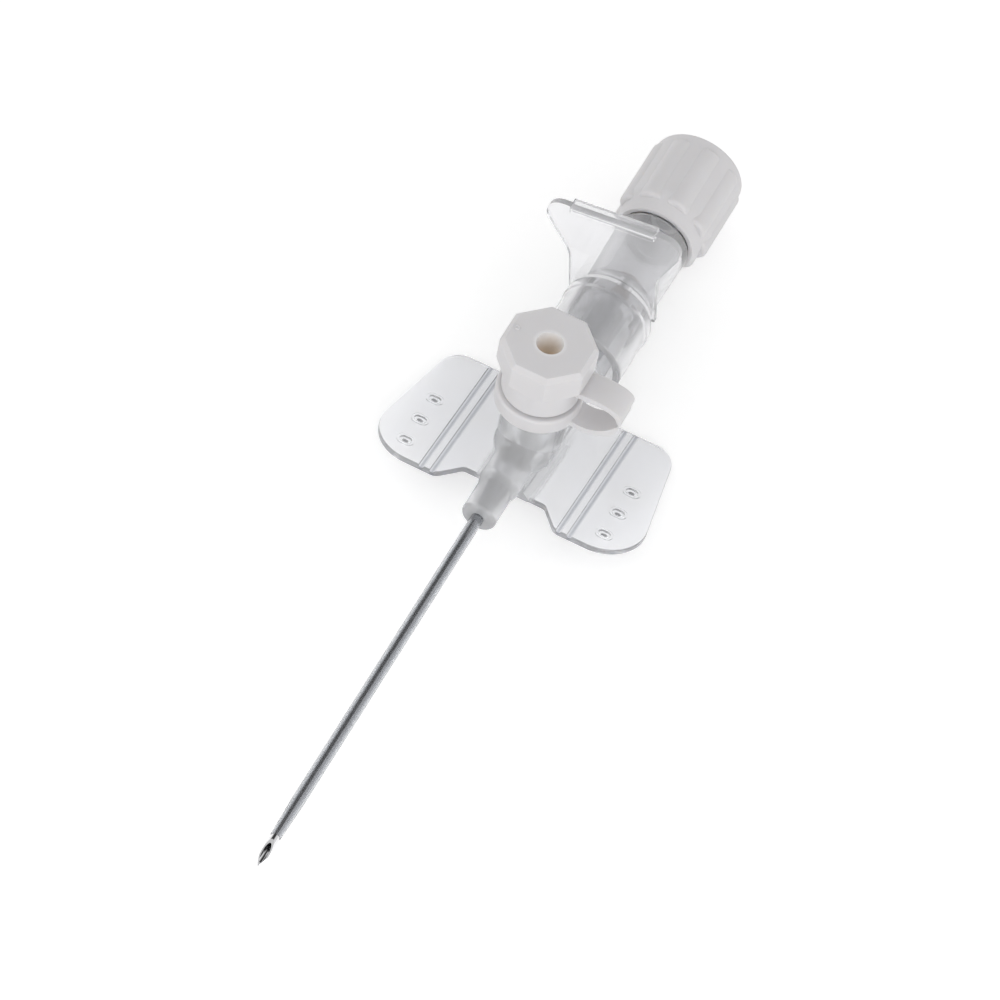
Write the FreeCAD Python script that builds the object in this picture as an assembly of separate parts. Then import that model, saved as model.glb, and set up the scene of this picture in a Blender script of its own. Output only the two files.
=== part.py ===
import FreeCAD, Part
import math
import os

V = FreeCAD.Vector
ORIGIN = V(0, 0, 0)
ALONG_X = V(1, 0, 0)
ALONG_Y = V(0, 1, 0)
ALONG_Z = V(0, 0, 1)
FULL_TURN = 360.0
HALF = 0.5

# Millimetres. The origin is the centre of the front face of the hub nose.
# +X runs to the rear cap, +Z up through the injection port.

# Catheter: clear tube, its tip drawn down on to the needle.
CATHETER_LENGTH = 45.0
CATHETER_R = 0.70
CATHETER_BORE_R = 0.505
CATHETER_TIP_R = 0.56
CATHETER_TAPER = 4.8
CATHETER_NECK_R = 0.65
CATHETER_NECK_REAR_R = 0.62
CATHETER_WALL = 0.15

# Steel ferrule that wedges the flared catheter end into the nose.
FERRULE_X0 = 1.2
FERRULE_X1 = 5.5
FERRULE_BORE_R0 = 0.52
FERRULE_BORE_R1 = 1.10
FERRULE_WALL = 0.14
FLARE_LEAD = 0.4
FLARE_END = 5.2

# Needle: steel cannula with a lancet tip, bevel up.
NEEDLE_R = 0.475
NEEDLE_BORE_R = 0.34
NEEDLE_TIP_X = -48.7
NEEDLE_REAR_X = 37.3
BEVEL_LENGTH = 3.0
LANCET_LENGTH = 1.9
LANCET_TURN = 38.0

# Hub body.
NOSE_R = 1.95
NOSE_EDGE = 0.4
NOSE_STEP_X0 = 3.9
NOSE_STEP_X1 = 5.0
NECK_R = 2.30
NECK_X1 = 8.4
BODY_X0 = 10.6
BODY_R = 3.35
BODY_BLEND = 1.6
STEP_BLEND = 0.8
BODY_EDGE = 0.3

# Luer fittings: mouth radius and growth of the radius per millimetre.
LUER_MOUTH_R = 2.15
LUER_SLOPE = 0.03
LUER_GAP = 0.03
HUB_REAR_X = 31.6
LUG_R = 3.9
LUG_BORE_R = 3.0
LUG_HALF_WIDTH = 1.7
LUG_LENGTH = 1.9
LUG_EDGE_GAP = 0.2

# Silicone sleeve that closes the port from inside.
SLEEVE_R = 1.85
SLEEVE_BORE_R = 1.25
SLEEVE_X0 = 8.2
SLEEVE_X1 = 17.5
BORE_REST = 2.3

# Injection port.
PORT_X = 12.4
PORT_R = 3.0
PORT_TOP = 13.0
PORT_EDGE = 0.25
PORT_FLOOR = 4.5
PORT_FLOOR_CONE = 0.7
PORT_HOLE_R = 1.2
BOSS_R = 3.55
BOSS_TOP = 6.3
BOSS_LOW = -2.6
BOSS_LOW_R = 1.8
BOSS_WAIST = 0.6
BOSS_BLEND = 1.2
BOSS_EDGE = 0.5

# Wings: one flat panel, pitched down towards the rear.
WING_PITCH = 9.0
WING_DROP = 1.87
WING_T = 0.65
WING_EDGE = 0.28
WING_ROOT_X0 = 7.4
WING_ROOT_Y = 4.75
WING_FRONT_X = 4.85
WING_SHOULDER_Y = 6.95
WING_OUTER_Y0 = 16.3
WING_OUTER_Y1 = 13.4
WING_REAR_X = 22.9
WING_REAR_SHOULDER_Y = 6.3
WING_ROOT_X1 = 20.95
WING_FRONT_CORNER = 4.8
WING_REAR_CORNER = 2.7
WING_SHOULDER_ROUND = 1.2
WING_ROOT_ROUND = 0.7

# Flex line: two round grooves side by side along each wing root.
FLEX_Y = 8.05
FLEX_SPREAD = 0.64
FLEX_GROOVE_R = 0.32
FLEX_GROOVE_RISE = 0.07

# Suture eyelets, three in each wing.
EYELET_Y = 11.7
EYELET_X = (7.3, 10.95, 14.6)
EYELET_LONG = 1.0
EYELET_WIDE = 0.72
EYELET_RISE = 0.12
DISH_LONG = 0.7
DISH_WIDE = 0.45
DISH_DEPTH = 0.25
HOLE_LONG = 0.35
HOLE_WIDE = 0.2

# Keel that carries the body on the wing panel.
KEEL_X0 = 7.0
KEEL_X1 = 22.5
KEEL_TOP_HALF = 1.9
KEEL_FOOT_HALF = 2.2
KEEL_FOOT_RISE = 0.7
KEEL_FILLET = 0.7
KEEL_TALL = 8.0
KEEL_CEILING = -1.0
KEEL_END_ROUND = 1.2

# Port cap ring, turning round the port tube.
RING_R = 4.65
RING_Z0 = 6.5
RING_Z1 = 8.5
RING_GAP = 0.08
RING_EDGE = 0.3

# Port cap lid.
LID_TOP = 16.0
LID_APOTHEM = 4.8
LID_CORNER_ROUND = 0.5
LID_CHAMFER = 0.5
LID_UNDER = 12.2
LID_FLARE = 0.9
LID_SKIRT_R = 4.15
LID_SKIRT_Z = 8.7
LID_BORE_R = 3.55
LID_ROOF = 13.3
LID_FLARE_ROUND = 0.6
SKIRT_EDGE = 0.2
PLUG_R0 = 2.05
PLUG_R1 = 1.6
PLUG_LENGTH = 1.7
RECESS_R0 = 1.45
RECESS_R1 = 0.7
RECESS_DEPTH = 3.6

# Strap of the port cap: two leaves that meet at a thin hinge.
HINGE_Y = -9.4
HINGE_Z = 10.0
STRAP_X0 = 10.9
UPPER_X1 = 14.3
LOWER_X1 = 13.9
STRAP_T = 0.7
HINGE_T = 0.3
HINGE_SET_BACK = 0.3
UPPER_ROOT_Y = -3.6
UPPER_Z = 12.15
UPPER_BEND_Y = -7.9
UPPER_BEND_DROP = 0.3
UPPER_TURN_Y = -9.2
UPPER_TURN_Z = 11.2
LOWER_ROOT_Y = -3.9
LOWER_ROOT_Z = 7.2
LOWER_BEND_Y = -6.4
LOWER_BEND_Z = 7.05
LOWER_TURN_Y = -8.8
LOWER_TURN_Z = 8.5

# Needle hub.
COLLAR_X0 = 23.9
COLLAR_X1 = 31.6
COLLAR_R = 5.0
COLLAR_BORE_R = 4.2
COLLAR_FLOOR_X = 31.95
COLLAR_EDGE = 0.25
RIM_X0 = 30.4
RIM_R = 5.12
MALE_X0 = 22.6
MALE_BORE_R = 0.9
MALE_BORE_X1 = 32.6
PLATE_X0 = 32.5
PLATE_T = 0.7
PLATE_LEAN = 8.3
PLATE_FOOT_L = 5.05
PLATE_WAIST_H = 6.4
PLATE_WAIST_ROUND = 4.0
PLATE_TOP_L = 9.1
PLATE_TOP_H = 13.5
PLATE_CORNER = 1.9
BAR_X0 = 32.1
BAR_X1 = 33.65
BAR_HALF = 4.85
BAR_H0 = 12.7
BAR_H1 = 13.9
BAR_ROUND = 0.35

# Flash chamber and the luer tube behind it.
CHAMBER_X0 = 34.2
CHAMBER_X1 = 43.2
CHAMBER_FRONT_R = 4.05
CHAMBER_REAR_R = 4.25
CHAMBER_WALL = 1.0
CHAMBER_FLOOR_X = 35.0
CHAMBER_EDGE = 0.4
REAR_TUBE_R = 3.35
REAR_TUBE_X1 = 51.0
REAR_WALL = 0.9

# Glue that holds the needle.
BOND_R0 = 1.35
BOND_R1 = 0.75
BOND_LENGTH = 1.9
BOND_ROUND = 0.4

# Rear cap with its vent filter.
CAP_X0 = 43.4
CAP_X1 = 55.1
CAP_FRONT_R = 4.5
CAP_R = 5.3
CAP_SHOULDER = 2.6
CAP_SHOULDER_ROUND = 2.0
CAP_BORE_R = 4.05
CAP_WALL_X = 52.6
CAP_EDGE = 0.5
CAP_RIBS = 9
FIRST_RIB_TURN = 15.0
RIB_R = 1.6
RIB_CENTRE_R = 4.02
RIB_X0 = 44.8
RIB_X1 = 53.9
RIB_END_ROUND = 0.45
CAP_PLUG_X0 = 45.4
VENT_R = 0.8
FILTER_R = 1.2
FILTER_LENGTH = 2.4


def tangent_points(before, corner, after, radius):
    """Ends and middle of the arc that rounds one corner."""
    if radius == 0:
        return [corner]
    u = (before - corner).normalize()
    v = (after - corner).normalize()
    half = u.getAngle(v) * HALF
    reach = radius / math.tan(half)
    bisector = (u + v).normalize()
    middle = corner + bisector * (radius / math.sin(half) - radius)
    return [corner + u * reach, middle, corner + v * reach]


def rounded_face(corners):
    """Flat face in the XY plane from corners (x, y, radius)."""
    points = [V(c[0], c[1], 0) for c in corners]
    count = len(points)
    arcs = []
    for i in range(count):
        arcs.append(tangent_points(points[i - 1], points[i], points[(i + 1) % count], corners[i][2]))
    edges = []
    for i in range(count):
        if len(arcs[i]) > 1:
            edges.append(Part.Arc(arcs[i][0], arcs[i][1], arcs[i][2]).toShape())
        start = arcs[i][-1]
        end = arcs[(i + 1) % count][0]
        if start.distanceToPoint(end) > Part.Precision.confusion():
            edges.append(Part.makeLine(start, end))
    return Part.Face(Part.Wire(edges))


def turned_x(corners):
    """Solid turned about the X axis from corners (x, r, radius)."""
    return rounded_face(corners).revolve(ORIGIN, ALONG_X, FULL_TURN)


def turned_port(corners):
    """Solid turned about the port axis from corners (z, r, radius)."""
    solid = turned_x(corners)
    solid.rotate(ORIGIN, ALONG_Y, -FULL_TURN / 4)
    solid.translate(V(PORT_X, 0, 0))
    return solid


def rod(radius, x0, x1):
    """Cylinder along X."""
    return Part.makeCylinder(radius, x1 - x0, V(x0, 0, 0), ALONG_X)


def block(x0, x1, y0, y1, z0, z1):
    """Box between two corners."""
    return Part.makeBox(x1 - x0, y1 - y0, z1 - z0, V(x0, y0, z0))


def one_solid(shape):
    """The single clean solid of a boolean result."""
    clean = shape.removeSplitter()
    return clean.Solids[0]


def luer_bore_r(x, mouth_x):
    """Radius of a luer socket at x, for a mouth at mouth_x."""
    return LUER_MOUTH_R - LUER_SLOPE * (mouth_x - x)


def ferrule_r(x):
    """Outer radius of the ferrule at x."""
    share = (x - FERRULE_X0) / (FERRULE_X1 - FERRULE_X0)
    return FERRULE_BORE_R0 + FERRULE_WALL + share * (FERRULE_BORE_R1 - FERRULE_BORE_R0)


def wedge_above(length, turn):
    """Everything above a slanted plane that meets the needle tip."""
    shift = length * (1 - math.cos(math.radians(turn))) * HALF
    x0 = NEEDLE_TIP_X - shift
    rise = 2 * NEEDLE_R
    low = V(x0 - length, 0, -NEEDLE_R - rise)
    high = V(x0 + 2 * length, 0, NEEDLE_R + rise)
    roof = V(low.x, 0, high.z)
    face = Part.Face(Part.makePolygon([low, high, roof, low]))
    face.translate(V(0, -rise, 0))
    wedge = face.extrude(V(0, 2 * rise, 0))
    wedge.rotate(ORIGIN, ALONG_X, turn)
    return wedge


def needle():
    """Steel cannula with a primary bevel and two lancet cuts."""
    body = rod(NEEDLE_R, NEEDLE_TIP_X, NEEDLE_REAR_X)
    body = body.cut(rod(NEEDLE_BORE_R, NEEDLE_TIP_X - 1, NEEDLE_REAR_X + 1))
    body = body.cut(wedge_above(BEVEL_LENGTH, 0))
    body = body.cut(wedge_above(LANCET_LENGTH, LANCET_TURN))
    body = body.cut(wedge_above(LANCET_LENGTH, -LANCET_TURN))
    return one_solid(body)


def flare_corners():
    """Outer line of the catheter inside the nose, front to rear."""
    return [
        (0, CATHETER_NECK_R, 0),
        (FERRULE_X0 - FLARE_LEAD, CATHETER_NECK_REAR_R, 0),
        (FERRULE_X0, ferrule_r(FERRULE_X0) + CATHETER_WALL, 0),
        (FLARE_END, ferrule_r(FLARE_END) + CATHETER_WALL, 0),
    ]


def catheter_tube():
    """Clear tube, necked into the nose and flared over the ferrule."""
    outside = [
        (-CATHETER_LENGTH, CATHETER_TIP_R, 0),
        (-CATHETER_LENGTH + CATHETER_TAPER, CATHETER_R, 0),
        (0, CATHETER_R, 0),
    ]
    inside = [
        (FLARE_END, ferrule_r(FLARE_END), 0),
        (FERRULE_X0, ferrule_r(FERRULE_X0), 0),
        (FERRULE_X0, CATHETER_BORE_R, 0),
        (-CATHETER_LENGTH, CATHETER_BORE_R, 0),
    ]
    return one_solid(turned_x(outside + flare_corners() + inside))


def catheter_ferrule():
    """Steel funnel inside the flared end."""
    return one_solid(turned_x([
        (FERRULE_X0, FERRULE_BORE_R0, 0),
        (FERRULE_X0, ferrule_r(FERRULE_X0), 0),
        (FERRULE_X1, ferrule_r(FERRULE_X1), 0),
        (FERRULE_X1, FERRULE_BORE_R1, 0),
    ]))


def hub_body():
    """Nose, neck and luer barrel."""
    return turned_x([
        (0, 0, 0),
        (0, NOSE_R, NOSE_EDGE),
        (NOSE_STEP_X0, NOSE_R, STEP_BLEND),
        (NOSE_STEP_X1, NECK_R, STEP_BLEND),
        (NECK_X1, NECK_R, BODY_BLEND),
        (BODY_X0, BODY_R, BODY_BLEND),
        (HUB_REAR_X, BODY_R, BODY_EDGE),
        (HUB_REAR_X, 0, 0),
    ])


def luer_lugs(rear_x):
    """Two lugs at the mouth of a luer socket."""
    x1 = rear_x - LUG_EDGE_GAP
    ring = rod(LUG_R, x1 - LUG_LENGTH, x1).cut(rod(LUG_BORE_R, x1 - LUG_LENGTH, x1))
    reach = LUG_R + 1
    bar = block(x1 - LUG_LENGTH, x1, -reach, reach, -LUG_HALF_WIDTH, LUG_HALF_WIDTH)
    return ring.common(bar)


def port_boss():
    """Boss and tube of the injection port."""
    return turned_port([
        (BOSS_LOW, 0, 0),
        (BOSS_LOW, BOSS_LOW_R, 0),
        (BOSS_WAIST, BOSS_R, BOSS_BLEND),
        (BOSS_TOP, BOSS_R, BOSS_EDGE),
        (BOSS_TOP, PORT_R, 0),
        (PORT_TOP, PORT_R, PORT_EDGE),
        (PORT_TOP, 0, 0),
    ])


def port_bore():
    """Luer socket of the port and the hole in its floor."""
    floor_r = luer_bore_r(PORT_FLOOR, PORT_TOP)
    return turned_port([
        (0, 0, 0),
        (0, PORT_HOLE_R, 0),
        (PORT_FLOOR - PORT_FLOOR_CONE, PORT_HOLE_R, 0),
        (PORT_FLOOR, floor_r, 0),
        (PORT_TOP, LUER_MOUTH_R, 0),
        (PORT_TOP + 1, LUER_MOUTH_R, 0),
        (PORT_TOP + 1, 0, 0),
    ])


def hub_bore():
    """Hollow of the hub: catheter seat, sleeve seat and luer socket."""
    tube_end = flare_corners()[-1]
    taper_x = HUB_REAR_X - (LUER_MOUTH_R - SLEEVE_R) / LUER_SLOPE
    return turned_x([(-1, 0, 0), (-1, CATHETER_NECK_R, 0)] + flare_corners() + [
        (FERRULE_X1, tube_end[1], 0),
        (SLEEVE_X0, SLEEVE_R, 0),
        (taper_x, SLEEVE_R, 0),
        (HUB_REAR_X, LUER_MOUTH_R, 0),
        (HUB_REAR_X + 1, LUER_MOUTH_R, 0),
        (HUB_REAR_X + 1, 0, 0),
    ])


def wing_half_outline():
    """Corners of one wing, from the middle of the front to the rear."""
    return [
        (WING_ROOT_X0, WING_ROOT_Y, WING_ROOT_ROUND),
        (WING_FRONT_X, WING_SHOULDER_Y, WING_SHOULDER_ROUND),
        (WING_FRONT_X, WING_OUTER_Y0, WING_FRONT_CORNER),
        (WING_REAR_X, WING_OUTER_Y1, WING_REAR_CORNER),
        (WING_REAR_X, WING_REAR_SHOULDER_Y, WING_SHOULDER_ROUND),
        (WING_ROOT_X1, WING_ROOT_Y, WING_ROOT_ROUND),
    ]


def wing_outline():
    """Face of the whole panel."""
    half = wing_half_outline()
    mirrored = [(x, -y, r) for x, y, r in reversed(half)]
    return rounded_face(half + mirrored)


def oval(x, y, long_half, wide_half, z0, z1):
    """Upright oval prism, long across the wing."""
    straight = long_half - wide_half
    solid = block(x - wide_half, x + wide_half, y - straight, y + straight, z0, z1)
    for end in (y - straight, y + straight):
        solid = solid.fuse(Part.makeCylinder(wide_half, z1 - z0, V(x, end, z0)))
    return solid


def eyelet_rims():
    """Raised oval rims."""
    rims = []
    for x in EYELET_X:
        for y in (-EYELET_Y, EYELET_Y):
            rims.append(oval(x, y, EYELET_LONG, EYELET_WIDE, -WING_T * HALF, EYELET_RISE))
    return rims


def eyelet_holes():
    """Dish and through hole of each eyelet."""
    holes = []
    for x in EYELET_X:
        for y in (-EYELET_Y, EYELET_Y):
            dish = oval(x, y, DISH_LONG, DISH_WIDE, EYELET_RISE - DISH_DEPTH, 1)
            holes.append(dish.fuse(oval(x, y, HOLE_LONG, HOLE_WIDE, -WING_T - 1, 1)))
    return holes


def flex_grooves():
    """Round grooves that let the wings bend."""
    grooves = []
    for side in (-1, 1):
        for offset in (-FLEX_SPREAD, FLEX_SPREAD):
            groove = rod(FLEX_GROOVE_R, 0, WING_REAR_X + 1)
            groove.translate(V(0, side * FLEX_Y + offset, FLEX_GROOVE_RISE))
            grooves.append(groove)
    return grooves


def upper_edges(shape, level):
    """Edges that lie at one height."""
    found = []
    for edge in shape.Edges:
        box = edge.BoundBox
        if abs(box.ZMin - level) < WING_EDGE * HALF and abs(box.ZMax - level) < WING_EDGE * HALF:
            found.append(edge)
    return found


def wing_panel():
    """Panel with flex lines and eyelets, flat, its top face at z = 0."""
    panel = wing_outline().extrude(V(0, 0, WING_T))
    panel.translate(V(0, 0, -WING_T))
    panel = panel.makeFillet(WING_EDGE, upper_edges(panel, 0))
    panel = panel.fuse(eyelet_rims())
    return panel.cut(flex_grooves() + eyelet_holes())


def keel():
    """Web between the body and the panel, in the panel's own frame."""
    section = rounded_face([
        (-KEEL_TOP_HALF, KEEL_TALL, 0),
        (KEEL_TOP_HALF, KEEL_TALL, 0),
        (KEEL_FOOT_HALF, KEEL_FOOT_RISE, KEEL_FILLET * HALF),
        (KEEL_FOOT_HALF + KEEL_FILLET, 0, 0),
        (KEEL_FOOT_HALF + KEEL_FILLET, -WING_T * HALF, 0),
        (-KEEL_FOOT_HALF - KEEL_FILLET, -WING_T * HALF, 0),
        (-KEEL_FOOT_HALF - KEEL_FILLET, 0, 0),
        (-KEEL_FOOT_HALF, KEEL_FOOT_RISE, KEEL_FILLET * HALF),
    ])
    section.rotate(ORIGIN, ALONG_X, FULL_TURN / 4)
    section.rotate(ORIGIN, ALONG_Z, FULL_TURN / 4)
    section.translate(V(KEEL_X0, 0, 0))
    web = section.extrude(V(KEEL_X1 - KEEL_X0, 0, 0))
    plan = rounded_face([
        (KEEL_X0, -WING_ROOT_Y, KEEL_END_ROUND),
        (KEEL_X1, -WING_ROOT_Y, KEEL_END_ROUND),
        (KEEL_X1, WING_ROOT_Y, KEEL_END_ROUND),
        (KEEL_X0, WING_ROOT_Y, KEEL_END_ROUND),
    ]).extrude(V(0, 0, KEEL_TALL + 1))
    plan.translate(V(0, 0, -1))
    return web.common(plan)


def pitched(shape):
    """Turn a shape from the panel's frame into the part's frame."""
    placed = shape.copy()
    placed.rotate(ORIGIN, ALONG_Y, WING_PITCH)
    placed.translate(V(0, 0, -WING_DROP))
    return placed


def catheter_hub():
    """Hub moulding: body, port, lugs, keel and wings."""
    ceiling = block(-KEEL_X1, 2 * KEEL_X1, -KEEL_X1, KEEL_X1, KEEL_CEILING, KEEL_X1)
    web = pitched(keel()).cut(ceiling)
    hub = hub_body().fuse([port_boss(), luer_lugs(HUB_REAR_X), web, pitched(wing_panel())])
    hub = hub.cut([hub_bore(), port_bore()])
    return one_solid(hub)


def valve_sleeve():
    """Silicone sleeve under the port."""
    return one_solid(rod(SLEEVE_R, SLEEVE_X0, SLEEVE_X1).cut(rod(SLEEVE_BORE_R, SLEEVE_X0, SLEEVE_X1)))


def strap_leaf(points, thicknesses, x1):
    """Leaf of the strap from a centre line (y, z) and its thickness at each point."""
    centre = [V(STRAP_X0, y, z) for y, z in points]
    curve = Part.BSplineCurve()
    curve.interpolate(centre)
    left = []
    right = []
    for point, thickness in zip(centre, thicknesses):
        direction = curve.tangent(curve.parameter(point))[0]
        side = ALONG_X.cross(direction) * (thickness * HALF)
        left.append(point + side)
        right.append(point - side)
    edges = []
    for line in (left, right):
        border = Part.BSplineCurve()
        border.interpolate(line)
        edges.append(border.toShape())
    edges.append(Part.makeLine(left[0], right[0]))
    edges.append(Part.makeLine(left[-1], right[-1]))
    face = Part.Face(Part.Wire(Part.__sortEdges__(edges)))
    return face.extrude(V(x1 - STRAP_X0, 0, 0))


def port_cap_ring():
    """Ring round the port tube with the lower leaf of the strap."""
    bore_r = PORT_R + RING_GAP
    ring = turned_port([
        (RING_Z0, bore_r, 0),
        (RING_Z0, RING_R, RING_EDGE),
        (RING_Z1, RING_R, RING_EDGE),
        (RING_Z1, bore_r, 0),
    ])
    leaf = strap_leaf([
        (LOWER_ROOT_Y, LOWER_ROOT_Z),
        (LOWER_BEND_Y, LOWER_BEND_Z),
        (LOWER_TURN_Y, LOWER_TURN_Z),
        (HINGE_Y, HINGE_Z - HINGE_SET_BACK),
    ], [STRAP_T, STRAP_T, STRAP_T, HINGE_T], LOWER_X1)
    return one_solid(ring.fuse(leaf))


def lid_prism():
    """Eight-sided head of the lid."""
    corner_r = LID_APOTHEM / math.cos(math.pi / 8)
    corners = []
    for i in range(8):
        angle = math.pi / 8 + i * math.pi / 4
        corners.append((corner_r * math.cos(angle), corner_r * math.sin(angle), LID_CORNER_ROUND))
    prism = rounded_face(corners).extrude(V(0, 0, LID_TOP - LID_SKIRT_Z))
    prism.translate(V(PORT_X, 0, LID_SKIRT_Z))
    return prism.makeChamfer(LID_CHAMFER, upper_edges(prism, LID_TOP))


def lid_envelope():
    """Turned outside of the lid: skirt, flare and head."""
    beyond = LID_APOTHEM + 1
    return turned_port([
        (LID_SKIRT_Z, 0, 0),
        (LID_SKIRT_Z, LID_SKIRT_R, SKIRT_EDGE),
        (LID_UNDER, LID_SKIRT_R, LID_FLARE_ROUND),
        (LID_UNDER + LID_FLARE, beyond, 0),
        (LID_TOP + 1, beyond, 0),
        (LID_TOP + 1, 0, 0),
    ])


def lid_hollow():
    """Room for the port tube round the plug."""
    return turned_port([
        (LID_SKIRT_Z - 1, 0, 0),
        (LID_SKIRT_Z - 1, LID_BORE_R, 0),
        (LID_ROOF, LID_BORE_R, 0),
        (LID_ROOF, 0, 0),
    ])


def lid_plug():
    """Tapered plug that closes the port."""
    return turned_port([
        (LID_ROOF - PLUG_LENGTH, 0, 0),
        (LID_ROOF - PLUG_LENGTH, PLUG_R1, SKIRT_EDGE),
        (LID_ROOF, PLUG_R0, 0),
        (LID_ROOF + HALF, PLUG_R0, 0),
        (LID_ROOF + HALF, 0, 0),
    ])


def lid_recess():
    """Tapered recess in the top of the lid."""
    return turned_port([
        (LID_TOP - RECESS_DEPTH, 0, 0),
        (LID_TOP - RECESS_DEPTH, RECESS_R1, 0),
        (LID_TOP, RECESS_R0, 0),
        (LID_TOP + 1, RECESS_R0, 0),
        (LID_TOP + 1, 0, 0),
    ])


def port_cap_lid():
    """Lid with the upper leaf of the strap."""
    lid = lid_prism().common(lid_envelope())
    leaf = strap_leaf([
        (UPPER_ROOT_Y, UPPER_Z),
        (UPPER_BEND_Y, UPPER_Z - UPPER_BEND_DROP),
        (UPPER_TURN_Y, UPPER_TURN_Z),
        (HINGE_Y, HINGE_Z + HINGE_SET_BACK),
    ], [STRAP_T, STRAP_T, STRAP_T, HINGE_T], UPPER_X1)
    lid = lid.fuse(leaf).cut(lid_hollow())
    lid = lid.fuse(lid_plug()).cut(lid_recess())
    return one_solid(lid)


def plate_outline():
    """Thumb plate, seen from the front, as (sideways, up) corners."""
    half = [
        (PLATE_FOOT_L, 0, 0),
        (PLATE_FOOT_L, PLATE_WAIST_H, PLATE_WAIST_ROUND),
        (PLATE_TOP_L, PLATE_TOP_H, PLATE_CORNER),
    ]
    mirrored = [(-l, h, r) for l, h, r in reversed(half)]
    return rounded_face(half + mirrored)


def thumb_plate():
    """Upright plate of the needle hub, before it is leaned."""
    face = plate_outline()
    face.rotate(ORIGIN, ALONG_X, FULL_TURN / 4)
    face.rotate(ORIGIN, ALONG_Z, FULL_TURN / 4)
    face.translate(V(PLATE_X0, 0, 0))
    return face.extrude(V(PLATE_T, 0, 0))


def grip_bar():
    """Bar across the top of the plate with its long edges rounded."""
    bar = block(BAR_X0, BAR_X1, -BAR_HALF, BAR_HALF, BAR_H0, BAR_H1)
    long_edges = [e for e in bar.Edges if e.BoundBox.YLength > BAR_HALF]
    return bar.makeFillet(BAR_ROUND, long_edges)


def chamber_shell():
    """Flash chamber, its rear wall and the luer tube."""
    slope = (CHAMBER_REAR_R - CHAMBER_FRONT_R) / (CHAMBER_X1 - CHAMBER_X0)
    tube_inner = luer_bore_r(CHAMBER_X1 - REAR_WALL, REAR_TUBE_X1)
    return turned_x([
        (COLLAR_FLOOR_X, 0, 0),
        (COLLAR_FLOOR_X, CHAMBER_FRONT_R, 0),
        (CHAMBER_X0, CHAMBER_FRONT_R, 0),
        (CHAMBER_X1, CHAMBER_REAR_R, CHAMBER_EDGE),
        (CHAMBER_X1, REAR_TUBE_R, 0),
        (REAR_TUBE_X1, REAR_TUBE_R, BODY_EDGE),
        (REAR_TUBE_X1, LUER_MOUTH_R, 0),
        (CHAMBER_X1 - REAR_WALL, tube_inner, 0),
        (CHAMBER_X1 - REAR_WALL, CHAMBER_REAR_R - CHAMBER_WALL, CHAMBER_EDGE),
        (CHAMBER_FLOOR_X, CHAMBER_FRONT_R + slope - CHAMBER_WALL, CHAMBER_EDGE),
        (CHAMBER_FLOOR_X, 0, 0),
    ])


def male_luer():
    """Tapered tip that fills the hub's luer socket."""
    def male_r(x):
        return luer_bore_r(x, HUB_REAR_X) - LUER_GAP
    return turned_x([
        (MALE_X0, 0, 0),
        (MALE_X0, male_r(MALE_X0), COLLAR_EDGE),
        (CHAMBER_X0, male_r(CHAMBER_X0), 0),
        (CHAMBER_X0, 0, 0),
    ])


def collar():
    """Skirt round the rear of the catheter hub, with its rim and shoulder."""
    return turned_x([
        (COLLAR_X0, COLLAR_BORE_R, 0),
        (COLLAR_X0, COLLAR_R, COLLAR_EDGE),
        (RIM_X0, COLLAR_R, 0),
        (RIM_X0 + COLLAR_EDGE, RIM_R, 0),
        (COLLAR_X1, RIM_R, COLLAR_EDGE),
        (CHAMBER_X0, CHAMBER_FRONT_R, 0),
        (CHAMBER_X0, 0, 0),
        (COLLAR_FLOOR_X, 0, 0),
        (COLLAR_FLOOR_X, COLLAR_BORE_R, 0),
    ])


def needle_hub():
    """Clear needle hub: tip, collar, thumb plate, chamber and rear luer."""
    plate = thumb_plate().fuse(grip_bar())
    plate.rotate(ORIGIN, ALONG_X, -PLATE_LEAN)
    hub = chamber_shell().fuse([collar(), male_luer(), plate, luer_lugs(REAR_TUBE_X1)])
    tip_bore = rod(MALE_BORE_R, MALE_X0 - 1, MALE_BORE_X1)
    hub = hub.cut([tip_bore, rod(NEEDLE_R, MALE_X0, CHAMBER_FLOOR_X + 1)])
    return one_solid(hub)


def needle_bond():
    """Cone of glue round the needle, inside the chamber."""
    cone = turned_x([
        (CHAMBER_FLOOR_X, 0, 0),
        (CHAMBER_FLOOR_X, BOND_R0, 0),
        (CHAMBER_FLOOR_X + BOND_LENGTH, BOND_R1, BOND_ROUND * HALF),
        (CHAMBER_FLOOR_X + BOND_LENGTH, 0, 0),
    ])
    return one_solid(cone.cut(rod(NEEDLE_R, CHAMBER_FLOOR_X - 1, NEEDLE_REAR_X + 1)))


def cap_shell():
    """Turned outside and bore of the rear cap."""
    return turned_x([
        (CAP_X0, CAP_BORE_R, 0),
        (CAP_X0, CAP_FRONT_R, 0),
        (CAP_X0 + CAP_SHOULDER, CAP_R, CAP_SHOULDER_ROUND),
        (CAP_X1, CAP_R, CAP_EDGE),
        (CAP_X1, 0, 0),
        (CAP_WALL_X, 0, 0),
        (CAP_WALL_X, CAP_BORE_R, 0),
    ])


def cap_ribs():
    """Rounded grip ribs along the cap."""
    ribs = []
    for i in range(CAP_RIBS):
        rib = rod(RIB_R, RIB_X0, RIB_X1)
        ends = [e for e in rib.Edges if e.BoundBox.XLength < RIB_END_ROUND]
        rib = rib.makeFillet(RIB_END_ROUND, ends)
        rib.translate(V(0, 0, RIB_CENTRE_R))
        rib.rotate(ORIGIN, ALONG_X, FIRST_RIB_TURN + i * FULL_TURN / CAP_RIBS)
        ribs.append(rib)
    return ribs


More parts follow.
